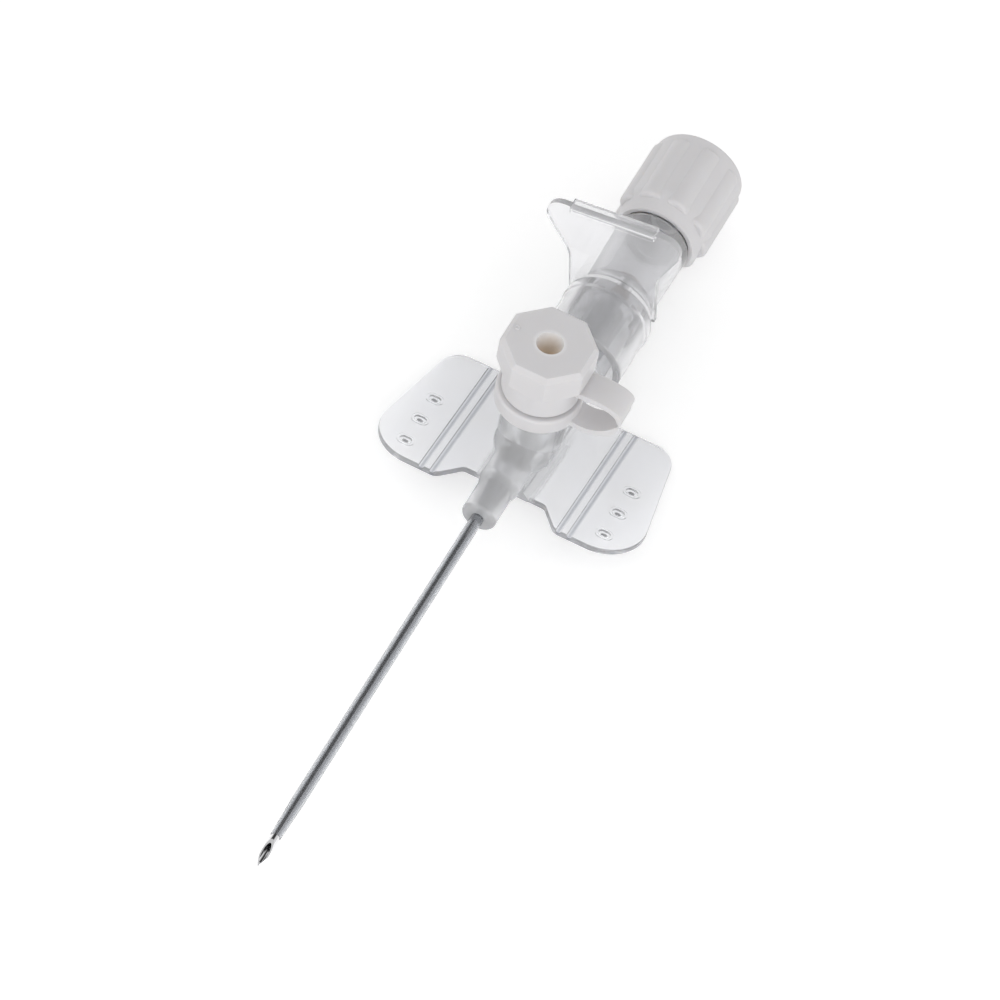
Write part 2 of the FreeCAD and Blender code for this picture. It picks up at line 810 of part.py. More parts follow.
def rear_cap():
    """Cap over the rear luer, with a hollow plug and a vent hole."""
    def plug_r(x):
        return luer_bore_r(x, REAR_TUBE_X1) - LUER_GAP
    plug = turned_x([
        (CAP_PLUG_X0, 0, 0),
        (CAP_PLUG_X0, plug_r(CAP_PLUG_X0), SKIRT_EDGE),
        (REAR_TUBE_X1, plug_r(REAR_TUBE_X1), 0),
        (CAP_WALL_X, plug_r(REAR_TUBE_X1), 0),
        (CAP_WALL_X, 0, 0),
    ])
    core = rod(CAP_BORE_R, CAP_X0, CAP_X1)
    ribs = [rib.cut(core) for rib in cap_ribs()]
    cap = cap_shell().fuse([plug] + ribs)
    cap = cap.cut([rod(FILTER_R, CAP_PLUG_X0 - 1, CAP_WALL_X), rod(VENT_R, CAP_WALL_X, CAP_X1 + 1)])
    return one_solid(cap)


def vent_filter():
    """Porous disc behind the vent hole."""
    return one_solid(rod(FILTER_R, CAP_WALL_X - FILTER_LENGTH, CAP_WALL_X))


def main():
    """Write one STEP file per node."""
    makers = (
        needle,
        catheter_tube,
        catheter_ferrule,
        catheter_hub,
        valve_sleeve,
        port_cap_ring,
        port_cap_lid,
        needle_hub,
        needle_bond,
        rear_cap,
        vent_filter,
    )
    os.makedirs("parts", exist_ok=True)
    for maker in makers:
        shape = maker()
        shape.exportStep(os.path.join("parts", maker.__name__ + ".step"))
        box = shape.BoundBox
        print(maker.__name__, shape.isValid(), round(shape.Volume, 2),
              [round(v, 2) for v in (box.XMin, box.XMax, box.YMin, box.YMax, box.ZMin, box.ZMax)])


main()
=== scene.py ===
import math

import bpy
from mathutils import Matrix, Vector


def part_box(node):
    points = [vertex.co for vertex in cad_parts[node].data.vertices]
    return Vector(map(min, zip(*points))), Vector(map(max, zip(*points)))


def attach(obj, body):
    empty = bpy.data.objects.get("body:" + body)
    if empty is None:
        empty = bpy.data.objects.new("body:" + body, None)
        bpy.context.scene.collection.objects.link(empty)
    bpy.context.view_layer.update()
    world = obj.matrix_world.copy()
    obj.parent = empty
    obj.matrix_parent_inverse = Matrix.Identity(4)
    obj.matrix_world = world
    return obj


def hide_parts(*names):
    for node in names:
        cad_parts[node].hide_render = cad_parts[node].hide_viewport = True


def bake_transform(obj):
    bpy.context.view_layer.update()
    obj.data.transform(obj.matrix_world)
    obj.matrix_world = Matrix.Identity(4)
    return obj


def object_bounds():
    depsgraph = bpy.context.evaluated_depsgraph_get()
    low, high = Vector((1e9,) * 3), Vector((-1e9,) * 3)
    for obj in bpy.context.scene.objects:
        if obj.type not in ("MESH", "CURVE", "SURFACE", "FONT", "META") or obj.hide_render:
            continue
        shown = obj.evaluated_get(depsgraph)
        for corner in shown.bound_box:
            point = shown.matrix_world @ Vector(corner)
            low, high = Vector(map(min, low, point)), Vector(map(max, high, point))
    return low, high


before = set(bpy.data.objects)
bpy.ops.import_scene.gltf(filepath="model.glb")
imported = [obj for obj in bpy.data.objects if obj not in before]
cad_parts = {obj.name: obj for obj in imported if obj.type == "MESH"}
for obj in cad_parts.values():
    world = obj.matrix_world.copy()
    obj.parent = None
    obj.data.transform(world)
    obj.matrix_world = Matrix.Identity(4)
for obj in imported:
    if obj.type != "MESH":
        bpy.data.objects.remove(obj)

bl_info = {
    "name": "IV Cannula",
    "version": (1, 0, 0),
    "blender": (4, 5, 0),
    "location": "View3D > Sidebar > Cannula",
    "description": "Details, finishes and studio for a winged IV cannula with an injection port",
    "category": "Object",
}

MM = 0.001
LOWEST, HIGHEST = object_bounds()

PORT_X = sum(corner.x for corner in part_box("port_cap_ring")) / 2
LID_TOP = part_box("port_cap_lid")[1].z
CAP_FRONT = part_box("rear_cap")[0].x
CAP_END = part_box("rear_cap")[1].x
NEEDLE_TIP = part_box("needle")[0].x

# The bevel is 3 mm long. The grain of its grinding covers it and fades out just behind it.
BEVEL_LENGTH = 3.0 * MM
GRINDING_END = 3.2 * MM

# The hub is clouded forward of the first place and fully so from the second, near its axis only.
CLOUD_START_X = 19.0 * MM
CLOUD_FULL_X = 15.0 * MM
CLOUD_EDGE_Y = 3.6 * MM
CLOUD_FULL_Y = 3.1 * MM
ETCH_START_X = 6.2 * MM
ETCH_FULL_X = 7.4 * MM

# Each wing bends along two grooves, one either side of the flex line, painted as grey bands of
# shade.
FLEX_Y = 8.05 * MM
FLEX_SPREAD = 0.64 * MM
GROOVE_EDGE = 0.3 * MM
GROOVE_CORE = 0.12 * MM

# A warm glow of light through the lid is painted into the recess of the lid, 1.45 mm in radius at
# its mouth, and is full at this depth. A painted highlight lies round the mouth. Both stop at the
# underside of the octagon, which is lower than the floor of the recess.
WARM_EDGE = 1.5 * MM
WARM_CORE = 1.4 * MM
WARM_DEPTH = 2.6 * MM
RIM_EDGE = 1.85 * MM
RIM_CORE = 1.5 * MM
OCTAGON_UNDER_Z = 12.2 * MM
OCTAGON_INSIDE_Z = 12.3 * MM

# A lit tone fills the bore of the rear cap, 4.05 mm in radius, and leaves out the end face.
LIT_EDGE = 4.3 * MM
LIT_CORE = 4.1 * MM
END_FACE_MARGIN = 0.5 * MM

# Second tone of each material, which its pattern mixes in.
STEEL_LINES = "#EAEAEC"
HUB_FLOW = "#F4F4F5"
BODY_FLOW = "#F6F6F7"
TUBE_LINES = "#E6E7E9"
CAP_MOTTLE = "#DDDCDE"
SILICONE_CLOUD = "#E2E0DD"
ADHESIVE_EDGE = "#E8D8CC"
# Painted shade in the pores between the filter's grains.
FILTER_GAP_SHADE = "#B5B3AC"

# What is left of white light deep inside a clear material.
HUB_INSIDE = "#9EA1A6"
BODY_INSIDE = "#9A9DA3"
TUBE_INSIDE = "#8C8F94"

HINGE_CUTS = 7
SLEEVE_SIDES = 96
SLEEVE_END_GAP = 0.02 * MM
PIP_SIDES = 40
CAP_PIP_Z = 2.6 * MM
SHARP_ANGLE = math.radians(35)
WELD = 0.001 * MM

FLOOR_SIZE = 3.0
KEY_SIZE = 0.45
KEY_PLACE = (-0.42, -0.40, 0.22)
FILL_SIZE = 0.5
FILL_PLACE = (-0.35, 0.5, 0.3)
LAMP_TARGET = (0.0, 0.0, 0.005)
CEILING_FROM, CEILING_TO = 0.3, 0.9
FLAG_EDGE, FLAG_CORE = 0.74, 0.93
SENSOR_WIDTH = 36.0
CLIP_START = 0.01
CAMERA_RIGHT = (0.43885, -0.88981, 0.12511)
CAMERA_UP = (0.69363, 0.42398, 0.58234)
CAMERA_BACK = (-0.57121, -0.16878, 0.80326)


class CannulaSizes(bpy.types.PropertyGroup):
    """Sizes of the pieces that are modelled here."""

    hinge_width: bpy.props.FloatProperty(
        name="Hinge width", description="Width of the thin fold of the cap strap",
        default=2.9 * MM, unit="LENGTH", precision=5)
    hinge_height: bpy.props.FloatProperty(
        name="Hinge height", description="Height of the fold between the two strap leaves",
        default=0.9 * MM, unit="LENGTH", precision=5)
    hinge_thickness: bpy.props.FloatProperty(
        name="Hinge thickness", description="Thickness of the fold",
        default=0.26 * MM, unit="LENGTH", precision=5)
    hinge_place: bpy.props.FloatVectorProperty(
        name="Hinge place", description="Middle of the fold",
        default=(PORT_X, -9.4 * MM, 10.0 * MM), subtype="XYZ", unit="LENGTH")
    hinge_bulge: bpy.props.FloatProperty(
        name="Hinge bulge", description="How far the fold bows outwards",
        default=0.1 * MM, unit="LENGTH", precision=5)
    sleeve_radius: bpy.props.FloatProperty(
        name="Sleeve radius",
        description="Outer radius of the silicone sleeve, just clear of its seat",
        default=1.835 * MM, unit="LENGTH", precision=6)
    sleeve_wall: bpy.props.FloatProperty(
        name="Sleeve wall", description="Wall of the silicone sleeve",
        default=0.585 * MM, unit="LENGTH", precision=6)
    sleeve_lip: bpy.props.FloatProperty(
        name="Sleeve lip", description="Rounding of the cut ends of the sleeve",
        default=0.08 * MM, unit="LENGTH", precision=6)
    pip_radius: bpy.props.FloatProperty(
        name="Pip radius", description="Radius of the moulding pips on the caps",
        default=0.3 * MM, unit="LENGTH", precision=5)
    pip_height: bpy.props.FloatProperty(
        name="Pip height", description="How far a moulding pip stands proud",
        default=0.14 * MM, unit="LENGTH", precision=5)
    lid_pip_offset: bpy.props.FloatProperty(
        name="Lid pip offset", description="Distance of the lid's pip from the port axis",
        default=3.76 * MM, unit="LENGTH", precision=5)


class CannulaColours(bpy.types.PropertyGroup):
    """Colours of the materials, as sRGB hex values."""

    white_cap: bpy.props.StringProperty(
        name="White cap", description="White polypropylene of the caps and the strap",
        default="#D9D7D8")
    # Painted glow: the warm tone of light through the lid, laid into the recess.
    recess_depth: bpy.props.StringProperty(
        name="Recess", description="Warm tone of light that has passed through the lid",
        default="#F3E6D6")
    # Painted highlight on the rim at the mouth of the recess.
    recess_rim: bpy.props.StringProperty(
        name="Recess rim",
        description="Thin plastic at the mouth of the recess, brighter than the rest",
        default="#E6E5E6")
    lit_bore: bpy.props.StringProperty(
        name="Lit bore", description="Bore of the rear cap, lit through its thin wall",
        default="#F6F5F6")
    hub_clear: bpy.props.StringProperty(
        name="Hub", description="Tint of the clarified polypropylene of hub and wings",
        default="#F6F7FA")
    # Painted shade along the two grooves where a wing bends.
    flex_groove: bpy.props.StringProperty(
        name="Flex groove", description="Scattering grooves along which a wing bends",
        default="#C9CBD1")
    body_clear: bpy.props.StringProperty(
        name="Needle hub", description="Tint of the clear polycarbonate of the needle hub",
        default="#F6F6F8")
    tube_clear: bpy.props.StringProperty(
        name="Catheter", description="Tint of the catheter tube",
        default="#DEE0E3")
    steel: bpy.props.StringProperty(
        name="Steel", description="Stainless steel of needle and ferrule",
        default="#F0F0F1")
    silicone: bpy.props.StringProperty(
        name="Silicone", description="Sleeve under the port", default="#D3D0CC")
    adhesive: bpy.props.StringProperty(
        name="Adhesive", description="Cured glue round the needle", default="#DDB79E")
    filter_fibre: bpy.props.StringProperty(
        name="Filter", description="Porous plug behind the vent", default="#DEDDD8")
    floor: bpy.props.StringProperty(
        name="Floor", description="Studio floor", default="#EAEAEA")


class CannulaStudio(bpy.types.PropertyGroup):
    """Light levels and camera of the studio."""

    sky_level: bpy.props.FloatProperty(
        name="Sky level", description="Brightness of the soft light all round",
        default=0.87, min=0.0)
    ceiling_level: bpy.props.FloatProperty(
        name="Ceiling level", description="Brightness of the studio ceiling in reflections",
        default=0.87, min=0.0)
    dark_level: bpy.props.FloatProperty(
        name="Dark level", description="Share of light left where a black flag hangs",
        default=0.06, min=0.0)
    dark_side: bpy.props.FloatVectorProperty(
        name="Dark side", description="Direction of the black flag that shapes the steel",
        default=(0.571, 0.254, 0.780), subtype="DIRECTION")
    key_power: bpy.props.FloatProperty(
        name="Key power", description="Power of the large soft lamp", default=1.25, min=0.0)
    fill_power: bpy.props.FloatProperty(
        name="Fill power", description="Power of the soft lamp on the other side",
        default=0.7, min=0.0)
    floor_glow: bpy.props.FloatProperty(
        name="Floor glow", description="Paleness added to the floor as it is seen",
        default=0.4, min=0.0)
    through_glow: bpy.props.FloatProperty(
        name="Through glow", description="Paleness added to the floor as clear plastic shows it",
        default=0.67, min=0.0)
    bounces: bpy.props.IntProperty(
        name="Bounces",
        description="Light bounces, enough for light that is led along inside the wings",
        default=32, min=1)
    lens: bpy.props.FloatProperty(
        name="Lens", description="Focal length in millimetres", default=179.96, min=1.0)
    camera_place: bpy.props.FloatVectorProperty(
        name="Camera place", description="Where the camera stands",
        default=(-0.293264, -0.088610, 0.417027), subtype="XYZ", unit="LENGTH")


def linear(hex_value):
    """Linear colour with alpha from an sRGB hex value."""
    parts = [int(hex_value[i:i + 2], 16) / 255 for i in (1, 3, 5)]
    return tuple(c / 12.92 if c <= 0.04045 else ((c + 0.055) / 1.055) ** 2.4
                 for c in parts) + (1.0,)


def find_socket(sockets, key):
    """Socket by its identifier, or else by its name."""
    for wanted in ("identifier", "name"):
        for socket in sockets:
            if getattr(socket, wanted) == key:
                return socket
    raise KeyError(key)


def mixed_colour(mix):
    """Result of a Mix node that mixes colours."""
    return find_socket(mix.outputs, "Result_Color")


def mixed_value(mix):
    """Result of a Mix node that mixes numbers."""
    return find_socket(mix.outputs, "Result_Float")


def add_node(tree, kind, values=None, links=None, **settings):
    """A shader node with its settings, socket values and links."""
    node = tree.nodes.new("ShaderNode" + kind)
    for key, value in settings.items():
        setattr(node, key, value)
    for key, value in (values or {}).items():
        find_socket(node.inputs, key).default_value = value
    for key, source in (links or {}).items():
        tree.links.new(source, find_socket(node.inputs, key))
    return node


def new_material(name):
    """Empty node material with its tree and Object coordinates."""
    material = bpy.data.materials.new(name)
    material.use_nodes = True
    tree = material.node_tree
    tree.nodes.clear()
    place = add_node(tree, "TexCoord").outputs["Object"]
    return material, tree, place


def surface(tree, values, links, density=0.0, absorbed="#FFFFFF"):
    """Principled surface on the output, with an absorbing inside where asked."""
    shader = add_node(tree, "BsdfPrincipled", values, links)
    output = add_node(tree, "OutputMaterial", links={"Surface": shader.outputs[0]})
    if density:
        inside = add_node(tree, "VolumeAbsorption",
                          {"Color": linear(absorbed), "Density": density})
        tree.links.new(inside.outputs[0], output.inputs["Volume"])


def per_size(size_mm):
    """Noise scale, in repeats per metre, for a pattern of this size."""
    return 1 / (size_mm * MM)


def drawn_stainless_steel(colours):
    """AISI 304 tube, drawn, then ground at the tip: lines along it, a cross grain on the bevel."""
    material, tree, place = new_material("drawn_stainless_steel")
    # Draw lines about 0.05 mm apart run along the tube, and a finer grain crosses the bevel.
    along = add_node(tree, "Mapping", {"Scale": (0.02, 1.0, 1.0)}, {"Vector": place})
    lines = add_node(tree, "TexNoise", {"Scale": per_size(0.05), "Detail": 3.0},
                     {"Vector": along.outputs[0]})
    across = add_node(tree, "Mapping", {"Scale": (1.0, 0.05, 0.3)}, {"Vector": place})
    grinding = add_node(tree, "TexNoise", {"Scale": per_size(0.03), "Detail": 2.0},
                        {"Vector": across.outputs[0]})
    split = add_node(tree, "SeparateXYZ", links={"Vector": place})
    at_tip = add_node(tree, "MapRange", {"From Min": NEEDLE_TIP + GRINDING_END,
                                         "From Max": NEEDLE_TIP + BEVEL_LENGTH},
                      {"Value": split.outputs["X"]})
    grain = add_node(tree, "Mix", links={"Factor_Float": at_tip.outputs[0],
                                         "A_Float": lines.outputs[0],
                                         "B_Float": grinding.outputs[0]}, data_type="FLOAT")
    rough = add_node(tree, "MapRange", {"To Min": 0.13, "To Max": 0.17},
                     {"Value": mixed_value(grain)})
    tone = add_node(tree, "Mix", {"A_Color": linear(colours.steel), "B_Color": linear(STEEL_LINES)},
                    {"Factor_Float": mixed_value(grain)}, data_type="RGBA")
    bump = add_node(tree, "Bump", {"Strength": 0.015, "Distance": 0.01 * MM},
                    {"Height": mixed_value(grain)})
    surface(tree, {"Metallic": 1.0},
            {"Base Color": mixed_colour(tone), "Roughness": rough.outputs[0],
             "Normal": bump.outputs[0]})
    return material


def clarified_polypropylene(colours):
    """Injection moulded hub: glossy thin wings, and a nose clouded by its spark-eroded mould."""
    material, tree, place = new_material("clarified_polypropylene")
    split = add_node(tree, "SeparateXYZ", links={"Vector": place})
    on_nose = add_node(tree, "MapRange", {"From Min": CLOUD_START_X, "From Max": CLOUD_FULL_X},
                       {"Value": split.outputs["X"]})
    sideways = add_node(tree, "Math", links={"Value": split.outputs["Y"]}, operation="ABSOLUTE")
    near_axis = add_node(tree, "MapRange", {"From Min": CLOUD_EDGE_Y, "From Max": CLOUD_FULL_Y},
                         {"Value": sideways.outputs[0]})
    cloudy = add_node(tree, "Math", links={"Value": on_nose.outputs[0],
                                           "Value_001": near_axis.outputs[0]},
                      operation="MULTIPLY")
    # Flow unevenness about 4 mm across, and a mould grain of 0.2 mm.
    flow = add_node(tree, "TexNoise", {"Scale": per_size(4.0), "Detail": 2.0}, {"Vector": place})
    grain = add_node(tree, "TexNoise", {"Scale": per_size(0.2), "Detail": 3.0}, {"Vector": place})
    base_rough = add_node(tree, "MapRange", {"To Min": 0.03, "To Max": 0.08},
                          {"Value": flow.outputs[0]})
    # The mould is crisp round the ferrule and etched from there to behind the port.
    etched = add_node(tree, "MapRange", {"From Min": ETCH_START_X, "From Max": ETCH_FULL_X,
                                         "To Min": 0.04, "To Max": 0.14},
                      {"Value": split.outputs["X"]})
    rough = add_node(tree, "Mix", links={"Factor_Float": cloudy.outputs[0],
                                         "A_Float": base_rough.outputs[0],
                                         "B_Float": etched.outputs[0]}, data_type="FLOAT")
    clear = add_node(tree, "MapRange", {"To Min": 0.84, "To Max": 0.64},
                     {"Value": cloudy.outputs[0]})
    tone = add_node(tree, "Mix", {"A_Color": linear(colours.hub_clear),
                                  "B_Color": linear(HUB_FLOW)},
                    {"Factor_Float": flow.outputs[0]}, data_type="RGBA")
    # The two flex grooves of a wing are painted as grey bands of shade.
    from_flex = add_node(tree, "Math", {"Value_001": FLEX_Y}, {"Value": sideways.outputs[0]},
                         operation="SUBTRACT")
    beside = add_node(tree, "Math", links={"Value": from_flex.outputs[0]}, operation="ABSOLUTE")
    from_groove = add_node(tree, "Math", {"Value_001": FLEX_SPREAD}, {"Value": beside.outputs[0]},
                           operation="SUBTRACT")
    off_groove = add_node(tree, "Math", links={"Value": from_groove.outputs[0]},
                          operation="ABSOLUTE")
    groove = add_node(tree, "MapRange", {"From Min": GROOVE_EDGE, "From Max": GROOVE_CORE},
                      {"Value": off_groove.outputs[0]})
    tone = add_node(tree, "Mix", {"B_Color": linear(colours.flex_groove)},
                    {"Factor_Float": groove.outputs[0], "A_Color": mixed_colour(tone)},
                    data_type="RGBA")
    flow_bump = add_node(tree, "Bump", {"Strength": 0.15, "Distance": 0.03 * MM},
                         {"Height": flow.outputs[0]})
    bump = add_node(tree, "Bump", {"Strength": 0.04, "Distance": 0.01 * MM},
                    {"Height": grain.outputs[0], "Normal": flow_bump.outputs[0]})
    surface(tree, {"IOR": 1.49},
            {"Base Color": mixed_colour(tone), "Transmission Weight": clear.outputs[0],
             "Roughness": mixed_value(rough), "Normal": bump.outputs[0]},
            density=8.0, absorbed=HUB_INSIDE)
    return material


def clear_polycarbonate(colours):
    """Injection moulded needle hub: hard, clear and a little milky, with faint flow lines."""
    material, tree, place = new_material("clear_polycarbonate")
    # Flow lines run lengthwise, about 1.5 mm apart.
    along = add_node(tree, "Mapping", {"Scale": (0.25, 1.0, 1.0)}, {"Vector": place})
    flow = add_node(tree, "TexNoise", {"Scale": per_size(1.5), "Detail": 2.0},
                    {"Vector": along.outputs[0]})
    rough = add_node(tree, "MapRange", {"To Min": 0.02, "To Max": 0.07},
                     {"Value": flow.outputs[0]})
    tone = add_node(tree, "Mix", {"A_Color": linear(colours.body_clear),
                                  "B_Color": linear(BODY_FLOW)},
                    {"Factor_Float": flow.outputs[0]}, data_type="RGBA")
    bump = add_node(tree, "Bump", {"Strength": 0.12, "Distance": 0.02 * MM},
                    {"Height": flow.outputs[0]})
    surface(tree, {"Transmission Weight": 0.745, "IOR": 1.53},
            {"Base Color": mixed_colour(tone), "Roughness": rough.outputs[0],
             "Normal": bump.outputs[0]},
            density=6.0, absorbed=BODY_INSIDE)
    return material


def extruded_fluoropolymer(colours):
    """Extruded catheter tube: smooth and clear, with die lines along it."""
    material, tree, place = new_material("extruded_fluoropolymer")
    # Die lines about 0.12 mm apart round the tube.
    along = add_node(tree, "Mapping", {"Scale": (0.03, 1.0, 1.0)}, {"Vector": place})
    lines = add_node(tree, "TexNoise", {"Scale": per_size(0.12), "Detail": 2.0},
                     {"Vector": along.outputs[0]})
    rough = add_node(tree, "MapRange", {"To Min": 0.01, "To Max": 0.03},
                     {"Value": lines.outputs[0]})
    tone = add_node(tree, "Mix", {"A_Color": linear(colours.tube_clear),
                                  "B_Color": linear(TUBE_LINES)},
                    {"Factor_Float": lines.outputs[0]}, data_type="RGBA")
    surface(tree, {"Transmission Weight": 0.92, "IOR": 1.42},
            {"Base Color": mixed_colour(tone), "Roughness": rough.outputs[0]},
            density=900.0, absorbed=TUBE_INSIDE)
    return material


def white_polypropylene(colours):
    """Injection moulded caps: satin white, slightly see-through, so a deep recess glows warm."""
    material, tree, place = new_material("white_polypropylene")
    split = add_node(tree, "SeparateXYZ", links={"Vector": place})
    from_port = add_node(tree, "Math", {"Value_001": PORT_X}, {"Value": split.outputs["X"]},
                         operation="SUBTRACT")
    flat = add_node(tree, "CombineXYZ", links={"X": from_port.outputs[0],
                                               "Y": split.outputs["Y"]})
    reach = add_node(tree, "VectorMath", links={"Vector": flat.outputs[0]}, operation="LENGTH")
    # Mask of the painted glow in the recess, deepest below the lid top and inside the octagon.
    in_recess = add_node(tree, "MapRange", {"From Min": WARM_EDGE, "From Max": WARM_CORE},
                         {"Value": reach.outputs["Value"]})
    deep = add_node(tree, "MapRange", {"From Min": LID_TOP, "From Max": LID_TOP - WARM_DEPTH},
                    {"Value": split.outputs["Z"]})
    in_octagon = add_node(tree, "MapRange", {"From Min": OCTAGON_UNDER_Z,
                                             "From Max": OCTAGON_INSIDE_Z},
                          {"Value": split.outputs["Z"]})
    inside = add_node(tree, "Math", links={"Value": in_recess.outputs[0],
                                           "Value_001": deep.outputs[0]}, operation="MULTIPLY")
    warm = add_node(tree, "Math", links={"Value": inside.outputs[0],
                                         "Value_001": in_octagon.outputs[0]},
                    operation="MULTIPLY")
    # The thin wall of the rear cap lets light into its bore.
    round_axis = add_node(tree, "CombineXYZ", links={"X": split.outputs["Y"],
                                                     "Y": split.outputs["Z"]})
    off_axis = add_node(tree, "VectorMath", links={"Vector": round_axis.outputs[0]},
                        operation="LENGTH")
    in_bore = add_node(tree, "MapRange", {"From Min": LIT_EDGE, "From Max": LIT_CORE},
                       {"Value": off_axis.outputs["Value"]})
    in_cap = add_node(tree, "Math", {"Value_001": CAP_FRONT}, {"Value": split.outputs["X"]},
                      operation="GREATER_THAN")
    before_end = add_node(tree, "Math", {"Value_001": CAP_END - END_FACE_MARGIN},
                          {"Value": split.outputs["X"]}, operation="LESS_THAN")
    cap_bore = add_node(tree, "Math", links={"Value": in_bore.outputs[0],
                                             "Value_001": in_cap.outputs[0]},
                        operation="MULTIPLY")
    cap_bore = add_node(tree, "Math", links={"Value": cap_bore.outputs[0],
                                             "Value_001": before_end.outputs[0]},
                        operation="MULTIPLY")
    # Mottling about 3 mm across and a satin mould grain of 0.15 mm.
    mottle = add_node(tree, "TexNoise", {"Scale": per_size(3.0), "Detail": 2.0}, {"Vector": place})
    grain = add_node(tree, "TexNoise", {"Scale": per_size(0.15), "Detail": 3.0}, {"Vector": place})
    tone = add_node(tree, "Mix", {"A_Color": linear(colours.white_cap),
                                  "B_Color": linear(CAP_MOTTLE)},
                    {"Factor_Float": mottle.outputs[0]}, data_type="RGBA")
    tone = add_node(tree, "Mix", {"B_Color": linear(colours.lit_bore)},
                    {"Factor_Float": cap_bore.outputs[0], "A_Color": mixed_colour(tone)},
                    data_type="RGBA")
    # A painted highlight round the mouth of the recess, on the octagon only.
    at_mouth = add_node(tree, "MapRange", {"From Min": RIM_EDGE, "From Max": RIM_CORE},
                        {"Value": reach.outputs["Value"]})
    rim = add_node(tree, "Math", links={"Value": at_mouth.outputs[0],
                                        "Value_001": in_octagon.outputs[0]},
                   operation="MULTIPLY")
    tone = add_node(tree, "Mix", {"B_Color": linear(colours.recess_rim)},
                    {"Factor_Float": rim.outputs[0], "A_Color": mixed_colour(tone)},
                    data_type="RGBA")
    # Painted glow of light through the lid, a warm tone in the recess.
    tone = add_node(tree, "Mix", {"B_Color": linear(colours.recess_depth)},
                    {"Factor_Float": warm.outputs[0], "A_Color": mixed_colour(tone)},
                    data_type="RGBA")
    rough = add_node(tree, "MapRange", {"To Min": 0.36, "To Max": 0.5},
                     {"Value": grain.outputs[0]})
    bump = add_node(tree, "Bump", {"Strength": 0.12, "Distance": 0.02 * MM},
                    {"Height": grain.outputs[0]})
    surface(tree, {"Subsurface Weight": 0.25, "Subsurface Radius": (1.0, 0.9, 0.75),
                   "Subsurface Scale": 1.0 * MM, "IOR": 1.49},
            {"Base Color": mixed_colour(tone), "Roughness": rough.outputs[0],
             "Normal": bump.outputs[0]})
    return material


def silicone_rubber(colours):
    """Extruded sleeve: soft, cloudy and slightly greasy to the eye."""
    material, tree, place = new_material("silicone_rubber")
    cloud = add_node(tree, "TexNoise", {"Scale": per_size(1.2), "Detail": 2.0}, {"Vector": place})
    tone = add_node(tree, "Mix", {"A_Color": linear(colours.silicone),
                                  "B_Color": linear(SILICONE_CLOUD)},
                    {"Factor_Float": cloud.outputs[0]}, data_type="RGBA")
    rough = add_node(tree, "MapRange", {"To Min": 0.4, "To Max": 0.55},
                     {"Value": cloud.outputs[0]})
    surface(tree, {"Transmission Weight": 0.35, "IOR": 1.41},
            {"Base Color": mixed_colour(tone), "Roughness": rough.outputs[0]})
    return material


def cured_adhesive(colours):
    """Cured acrylic glue: a warm, glossy drop with small bubbles."""
    material, tree, place = new_material("cured_adhesive")
    bubbles = add_node(tree, "TexVoronoi", {"Scale": per_size(0.4)}, {"Vector": place})
    tone = add_node(tree, "Mix", {"A_Color": linear(colours.adhesive),
                                  "B_Color": linear(ADHESIVE_EDGE)},
                    {"Factor_Float": bubbles.outputs["Distance"]}, data_type="RGBA")
    rough = add_node(tree, "MapRange", {"To Min": 0.1, "To Max": 0.3},
                     {"Value": bubbles.outputs["Distance"]})
    bump = add_node(tree, "Bump", {"Strength": 0.2, "Distance": 0.03 * MM},
                    {"Height": bubbles.outputs["Distance"]})
    surface(tree, {"Transmission Weight": 0.3, "IOR": 1.5},
            {"Base Color": mixed_colour(tone), "Roughness": rough.outputs[0],
             "Normal": bump.outputs[0]})
    return material


def sintered_polyethylene(colours):
    """Sintered porous plug: chalky, with open grains about 0.25 mm across."""
    material, tree, place = new_material("sintered_polyethylene")
    grains = add_node(tree, "TexVoronoi", {"Scale": per_size(0.25)}, {"Vector": place})
    # The gaps between the grains are painted darker, as shade in the pores.
    tone = add_node(tree, "Mix", {"A_Color": linear(colours.filter_fibre),
                                  "B_Color": linear(FILTER_GAP_SHADE)},
                    {"Factor_Float": grains.outputs["Distance"]}, data_type="RGBA")
    rough = add_node(tree, "MapRange", {"To Min": 0.8, "To Max": 0.95},
                     {"Value": grains.outputs["Distance"]})
    bump = add_node(tree, "Bump", {"Strength": 0.5, "Distance": 0.05 * MM},
                    {"Height": grains.outputs["Distance"]})
    surface(tree, {}, {"Base Color": mixed_colour(tone), "Roughness": rough.outputs[0],
                       "Normal": bump.outputs[0]})
    return material


FINISHES = {
    "needle": drawn_stainless_steel,
    "catheter_ferrule": drawn_stainless_steel,
    "catheter_tube": extruded_fluoropolymer,
    "catheter_hub": clarified_polypropylene,
    "valve_sleeve": silicone_rubber,
    "port_cap_ring": white_polypropylene,
    "port_cap_lid": white_polypropylene,
    "needle_hub": clear_polycarbonate,
    "needle_bond": cured_adhesive,
    "rear_cap": white_polypropylene,
    "vent_filter": sintered_polyethylene,
}


def finish_of(make, colours):
    """The material that a function makes, made once."""
    return bpy.data.materials.get(make.__name__) or make(colours)


def dress(piece, material):
    """Give a piece one material."""
    piece.data.materials.clear()
    piece.data.materials.append(material)


def deselect():
    """Nothing selected, in object mode."""
    if bpy.context.mode != "OBJECT":
        bpy.ops.object.mode_set(mode="OBJECT")
    bpy.ops.object.select_all(action="DESELECT")


def select_faces_up(piece, least):
    """Select the faces whose normal points up at least this much, in edit mode."""
    bpy.ops.object.mode_set(mode="OBJECT")
    for part in (piece.data.vertices, piece.data.edges, piece.data.polygons):
        for item in part:
            item.select = False
    for face in piece.data.polygons:
        face.select = face.normal.z > least
    bpy.ops.object.mode_set(mode="EDIT")
    bpy.ops.mesh.select_mode(type="FACE")


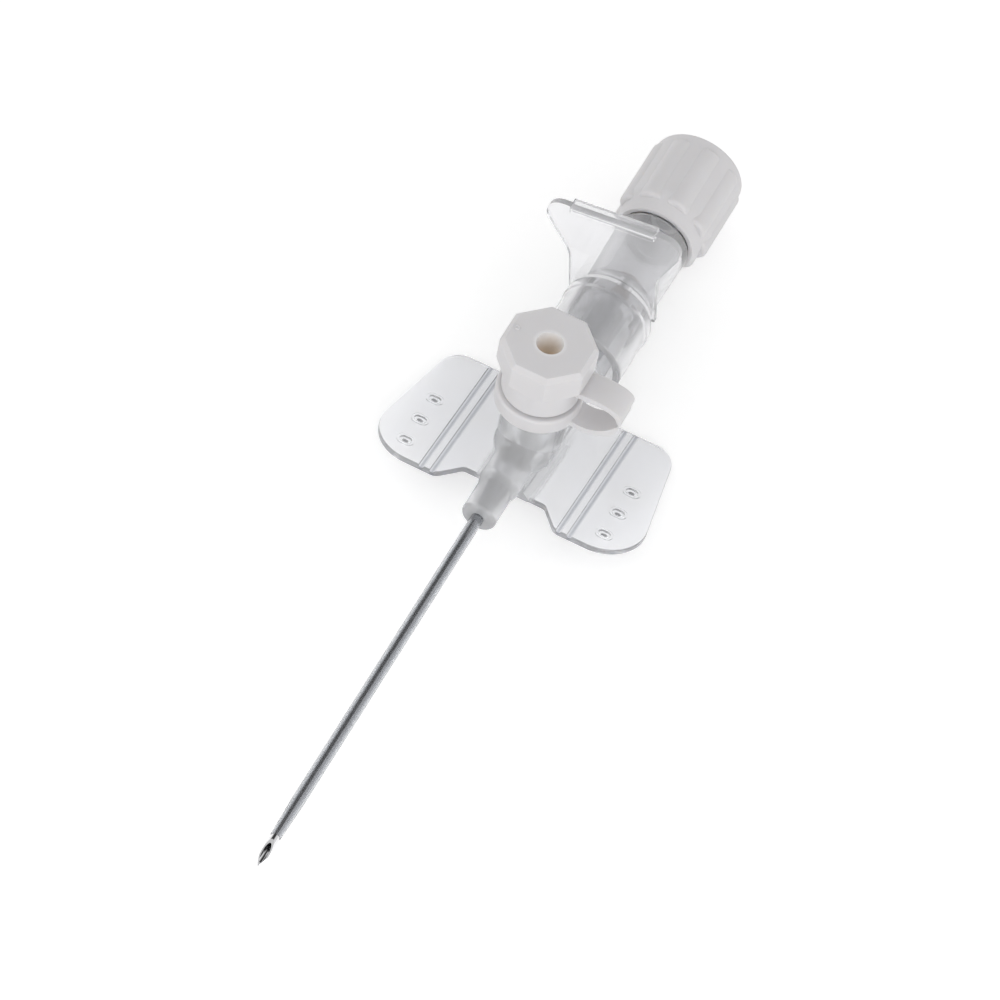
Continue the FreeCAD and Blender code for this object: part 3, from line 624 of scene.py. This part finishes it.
def settle(piece, name):
    """Apply modifiers and place, so that the piece sits at the origin."""
    bpy.ops.object.mode_set(mode="OBJECT")
    for modifier in list(piece.modifiers):
        bpy.ops.object.modifier_apply(modifier=modifier.name)
    bpy.ops.object.transform_apply(location=True, rotation=True, scale=True)
    bpy.ops.object.mode_set(mode="EDIT")
    bpy.ops.mesh.select_all(action="SELECT")
    bpy.ops.mesh.remove_doubles(threshold=WELD)
    bpy.ops.mesh.normals_make_consistent(inside=False)
    bpy.ops.object.mode_set(mode="OBJECT")
    bpy.ops.object.shade_smooth_by_angle(angle=SHARP_ANGLE)
    piece.name = name
    piece.data.name = name
    return piece


class CANNULA_OT_finishes(bpy.types.Operator):
    """Give every carried-over solid its real material"""

    bl_idname = "cannula.finishes"
    bl_label = "Finish the solids"

    def execute(self, context):
        colours = context.scene.cannula_colours
        for node, make in FINISHES.items():
            dress(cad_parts[node], finish_of(make, colours))
        return {"FINISHED"}


class CANNULA_OT_hinge_web(bpy.types.Operator):
    """Model the thin fold that joins the two leaves of the cap strap"""

    bl_idname = "cannula.hinge_web"
    bl_label = "Hinge web"

    def execute(self, context):
        sizes = context.scene.cannula_sizes
        place = Vector(sizes.hinge_place)
        deselect()
        bpy.ops.mesh.primitive_plane_add(size=1, location=place)
        web = context.object
        bpy.ops.object.mode_set(mode="EDIT")
        bpy.ops.transform.resize(value=(sizes.hinge_width, sizes.hinge_height, 1),
                                 center_override=place)
        bpy.ops.transform.rotate(value=math.radians(90), orient_axis="X", center_override=place)
        bpy.ops.mesh.subdivide(number_cuts=HINGE_CUTS)
        bpy.ops.object.mode_set(mode="OBJECT")
        half = sizes.hinge_height / 2
        for vertex in web.data.vertices:
            height = (web.matrix_world @ vertex.co).z - place.z
            vertex.co.y -= sizes.hinge_bulge * (1 - (height / half) ** 2)
        thick = web.modifiers.new("Thickness", "SOLIDIFY")
        thick.thickness = sizes.hinge_thickness
        thick.offset = 0
        edge = web.modifiers.new("Edge", "BEVEL")
        edge.width = sizes.hinge_thickness / 5
        edge.segments = 2
        settle(web, "hinge_web")
        dress(web, finish_of(white_polypropylene, context.scene.cannula_colours))
        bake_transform(web)
        return {"FINISHED"}


class CANNULA_OT_valve_sleeve(bpy.types.Operator):
    """Model the silicone sleeve under the port, with soft lips at its cut ends"""

    bl_idname = "cannula.valve_sleeve"
    bl_label = "Valve sleeve"

    def execute(self, context):
        sizes = context.scene.cannula_sizes
        low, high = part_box("valve_sleeve")
        middle = (low + high) / 2
        deselect()
        bpy.ops.mesh.primitive_cylinder_add(
            vertices=SLEEVE_SIDES, radius=sizes.sleeve_radius, end_fill_type="NOTHING",
            depth=high.x - low.x - SLEEVE_END_GAP, location=middle,
            rotation=(0, math.radians(90), 0))
        sleeve = context.object
        wall = sleeve.modifiers.new("Wall", "SOLIDIFY")
        wall.thickness = sizes.sleeve_wall
        wall.offset = -1
        lip = sleeve.modifiers.new("Lip", "BEVEL")
        lip.width = sizes.sleeve_lip
        lip.segments = 3
        settle(sleeve, "silicone_sleeve")
        dress(sleeve, finish_of(silicone_rubber, context.scene.cannula_colours))
        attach(sleeve, "hub")
        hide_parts("valve_sleeve")
        return {"FINISHED"}


def moulding_pip(sizes, place, axis_turn, name):
    """Small raised disc with a dimple, left by the mould, its foot sunk in the surface."""
    deselect()
    height = sizes.pip_height
    rounding = height * 0.5
    dimple_rim = sizes.pip_radius * 0.25
    dimple_depth = height * 0.4
    bpy.ops.mesh.primitive_cylinder_add(
        vertices=PIP_SIDES, radius=sizes.pip_radius, depth=2 * height, location=place)
    pip = bpy.context.object
    select_faces_up(pip, 0.9)
    bpy.ops.mesh.bevel(offset=rounding, segments=4, affect="EDGES")
    select_faces_up(pip, 0.99)
    bpy.ops.mesh.inset(thickness=dimple_rim)
    bpy.ops.transform.translate(value=(0, 0, -dimple_depth))
    bpy.ops.mesh.select_all(action="SELECT")
    bpy.ops.transform.rotate(value=axis_turn, orient_axis="Y", center_override=place)
    return settle(pip, name)


class CANNULA_OT_moulding_pips(bpy.types.Operator):
    """Model the small pips that the mould leaves on the lid and on the rear cap"""

    bl_idname = "cannula.moulding_pips"
    bl_label = "Moulding pips"

    def execute(self, context):
        sizes = context.scene.cannula_sizes
        plastic = finish_of(white_polypropylene, context.scene.cannula_colours)
        lid_place = Vector((PORT_X, sizes.lid_pip_offset, LID_TOP))
        cap_place = Vector((CAP_END, 0, CAP_PIP_Z))
        pips = (
            (moulding_pip(sizes, lid_place, 0.0, "lid_pip"), "port_lid"),
            (moulding_pip(sizes, cap_place, math.radians(90), "cap_pip"), "rear_cap_set"),
        )
        for pip, body in pips:
            dress(pip, plastic)
            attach(pip, body)
        return {"FINISHED"}


def soft_lamp(name, power, size, place):
    """Large square lamp that points at the object."""
    lamp = bpy.data.lights.new(name, "AREA")
    lamp.energy = power
    lamp.shape = "SQUARE"
    lamp.size = size
    lamp_object = bpy.data.objects.new(name, lamp)
    bpy.context.scene.collection.objects.link(lamp_object)
    towards = Vector(LAMP_TARGET) - Vector(place)
    lamp_object.location = place
    lamp_object.rotation_mode = "QUATERNION"
    lamp_object.rotation_quaternion = towards.to_track_quat("-Z", "Y")


def glow_level(tree, studio):
    """Glow of the floor for camera and glossy rays, more through clear plastic, none as light."""
    path = add_node(tree, "LightPath")
    direct = add_node(tree, "Math", links={"Value": path.outputs["Is Camera Ray"],
                                           "Value_001": path.outputs["Is Glossy Ray"]},
                      operation="MAXIMUM")
    plain = add_node(tree, "Math", {"Value_001": studio.floor_glow}, {"Value": direct.outputs[0]},
                     operation="MULTIPLY")
    through = add_node(tree, "Math", {"Value_001": studio.through_glow},
                       {"Value": path.outputs["Is Transmission Ray"]}, operation="MULTIPLY")
    return add_node(tree, "Math", links={"Value": plain.outputs[0],
                                         "Value_001": through.outputs[0]},
                    operation="MAXIMUM")


def studio_floor_paper(studio, colours):
    """Matt white paper: plain, with a faint tooth, and pale wherever it is seen."""
    material, tree, place = new_material("studio_floor_paper")
    tooth = add_node(tree, "TexNoise", {"Scale": per_size(1.0), "Detail": 2.0}, {"Vector": place})
    bump = add_node(tree, "Bump", {"Strength": 0.03, "Distance": 0.05 * MM},
                    {"Height": tooth.outputs[0]})
    paper = add_node(tree, "BsdfDiffuse", {"Color": linear(colours.floor)},
                     {"Normal": bump.outputs[0]})
    glow = add_node(tree, "Emission", links={"Strength": glow_level(tree, studio).outputs[0]})
    both = add_node(tree, "AddShader", links={"Shader": paper.outputs[0],
                                              "Shader_001": glow.outputs[0]})
    add_node(tree, "OutputMaterial", links={"Surface": both.outputs[0]})
    return material


def studio_sky(studio):
    """White to the camera, one level as scattered light, and in reflections darker overhead."""
    world = bpy.data.worlds.new("studio_sky")
    world.use_nodes = True
    tree = world.node_tree
    tree.nodes.clear()
    direction = add_node(tree, "TexCoord").outputs["Generated"]
    split = add_node(tree, "SeparateXYZ", links={"Vector": direction})
    height = add_node(tree, "MapRange", {"From Min": CEILING_FROM, "From Max": CEILING_TO,
                                         "To Min": 1.0, "To Max": studio.ceiling_level},
                      {"Value": split.outputs["Z"]}, interpolation_type="SMOOTHSTEP")
    towards = add_node(tree, "VectorMath", {"Vector_001": studio.dark_side},
                       {"Vector": direction}, operation="DOT_PRODUCT")
    flag = add_node(tree, "MapRange", {"From Min": FLAG_EDGE, "From Max": FLAG_CORE,
                                       "To Min": 1.0, "To Max": studio.dark_level},
                    {"Value": towards.outputs["Value"]}, interpolation_type="SMOOTHSTEP")
    mirrored = add_node(tree, "Math", links={"Value": height.outputs[0],
                                             "Value_001": flag.outputs[0]},
                        operation="MULTIPLY")
    path = add_node(tree, "LightPath")
    unscattered = add_node(tree, "Math", {"Value_001": 0.5},
                           {"Value": path.outputs["Diffuse Depth"]}, operation="LESS_THAN")
    level = add_node(tree, "Mix", {"A_Float": studio.sky_level},
                     {"Factor_Float": unscattered.outputs[0], "B_Float": mirrored.outputs[0]},
                     data_type="FLOAT")
    seen = add_node(tree, "Mix", {"B_Float": 1.0},
                    {"Factor_Float": path.outputs["Is Camera Ray"],
                     "A_Float": mixed_value(level)}, data_type="FLOAT")
    sky = add_node(tree, "Background", links={"Strength": mixed_value(seen)})
    add_node(tree, "OutputWorld", links={"Surface": sky.outputs[0]})
    return world


class CANNULA_OT_stage(bpy.types.Operator):
    """Lay the floor, hang the lamps and stand the camera"""

    bl_idname = "cannula.stage"
    bl_label = "Studio"

    def execute(self, context):
        scene = context.scene
        studio = scene.cannula_studio
        deselect()
        bpy.ops.mesh.primitive_plane_add(size=FLOOR_SIZE, location=(0, 0, LOWEST.z))
        floor = context.object
        bpy.ops.object.transform_apply(location=True)
        floor.name = "studio_floor"
        dress(floor, studio_floor_paper(studio, scene.cannula_colours))
        soft_lamp("key_lamp", studio.key_power, KEY_SIZE, KEY_PLACE)
        soft_lamp("fill_lamp", studio.fill_power, FILL_SIZE, FILL_PLACE)
        scene.world = studio_sky(studio)
        scene.view_settings.view_transform = "Standard"
        scene.cycles.max_bounces = studio.bounces
        scene.cycles.glossy_bounces = studio.bounces
        scene.cycles.transmission_bounces = studio.bounces
        camera = bpy.data.objects.new("camera", bpy.data.cameras.new("camera"))
        scene.collection.objects.link(camera)
        camera.data.lens = studio.lens
        camera.data.sensor_width = SENSOR_WIDTH
        camera.data.clip_start = CLIP_START
        axes = Matrix((CAMERA_RIGHT, CAMERA_UP, CAMERA_BACK)).transposed().to_4x4()
        camera.matrix_world = Matrix.Translation(studio.camera_place) @ axes
        scene.camera = camera
        return {"FINISHED"}


class CANNULA_PT_panel(bpy.types.Panel):
    """Sizes, colours and steps of the cannula"""

    bl_idname = "CANNULA_PT_panel"
    bl_label = "IV Cannula"
    bl_space_type = "VIEW_3D"
    bl_region_type = "UI"
    bl_category = "Cannula"

    def draw(self, context):
        layout = self.layout
        scene = context.scene
        for step in STEPS:
            layout.operator(step.bl_idname)
        for group in (scene.cannula_sizes, scene.cannula_colours, scene.cannula_studio):
            column = layout.column(align=True)
            for name in group.bl_rna.properties.keys():
                if name not in ("rna_type", "name"):
                    column.prop(group, name)


STEPS = (CANNULA_OT_finishes, CANNULA_OT_hinge_web, CANNULA_OT_valve_sleeve,
         CANNULA_OT_moulding_pips, CANNULA_OT_stage)
GROUPS = (CannulaSizes, CannulaColours, CannulaStudio)
CLASSES = GROUPS + STEPS + (CANNULA_PT_panel,)


def register():
    for item in CLASSES:
        bpy.utils.register_class(item)
    bpy.types.Scene.cannula_sizes = bpy.props.PointerProperty(type=CannulaSizes)
    bpy.types.Scene.cannula_colours = bpy.props.PointerProperty(type=CannulaColours)
    bpy.types.Scene.cannula_studio = bpy.props.PointerProperty(type=CannulaStudio)


def unregister():
    del bpy.types.Scene.cannula_studio
    del bpy.types.Scene.cannula_colours
    del bpy.types.Scene.cannula_sizes
    for item in reversed(CLASSES):
        bpy.utils.unregister_class(item)


def main():
    register()
    bpy.ops.cannula.finishes()
    bpy.ops.cannula.hinge_web()
    bpy.ops.cannula.valve_sleeve()
    bpy.ops.cannula.moulding_pips()
    bpy.ops.cannula.stage()


if __name__ == "__main__":
    main()
